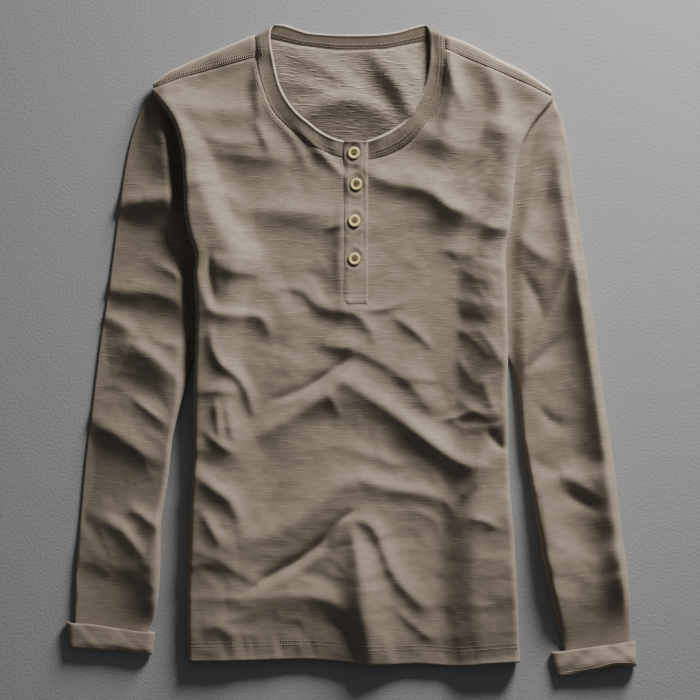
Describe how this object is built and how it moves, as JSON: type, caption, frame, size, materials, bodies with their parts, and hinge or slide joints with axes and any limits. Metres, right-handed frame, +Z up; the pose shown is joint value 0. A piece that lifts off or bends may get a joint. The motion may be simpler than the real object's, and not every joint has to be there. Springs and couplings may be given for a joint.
{
  "type": "long-sleeve henley t-shirt",
  "caption": "Long-sleeve cotton henley laid flat, face up, with a ribbed round neckband, a buttoned placket and turned-up cuffs; both sides are folded under.",
  "frame": {"origin": "middle of the laid garment's outline, on the surface that it lies on", "axes": "+Y from the hem to the neck, +X towards the wearer's left sleeve, +Z up out of the front of the garment"},
  "size_m": [0.6099, 0.6977, 0.0199],
  "materials": {
    "slub_jersey": "matte cotton slub jersey, taupe",
    "jersey_reverse": "reverse face of the slub jersey, streaked across",
    "cuff_jersey": "slub jersey turned up, matte",
    "neck_rib": "fine cotton rib, matte",
    "placket_cloth": "flat cotton jersey facing, matte",
    "button_horn": "horn-coloured resin, soft gloss"
  },
  "bodies": {
    "root": {"front_body": "slub_jersey", "back_body": "jersey_reverse", "sleeve_right": "slub_jersey", "sleeve_left": "slub_jersey", "cuff_right": "cuff_jersey", "cuff_left": "cuff_jersey", "neckband": "neck_rib", "placket_upper": "placket_cloth", "placket_under": "placket_cloth", "button_1": "button_horn", "button_2": "button_horn", "button_3": "button_horn", "button_4": "button_horn"}
  },
  "joints": []
}
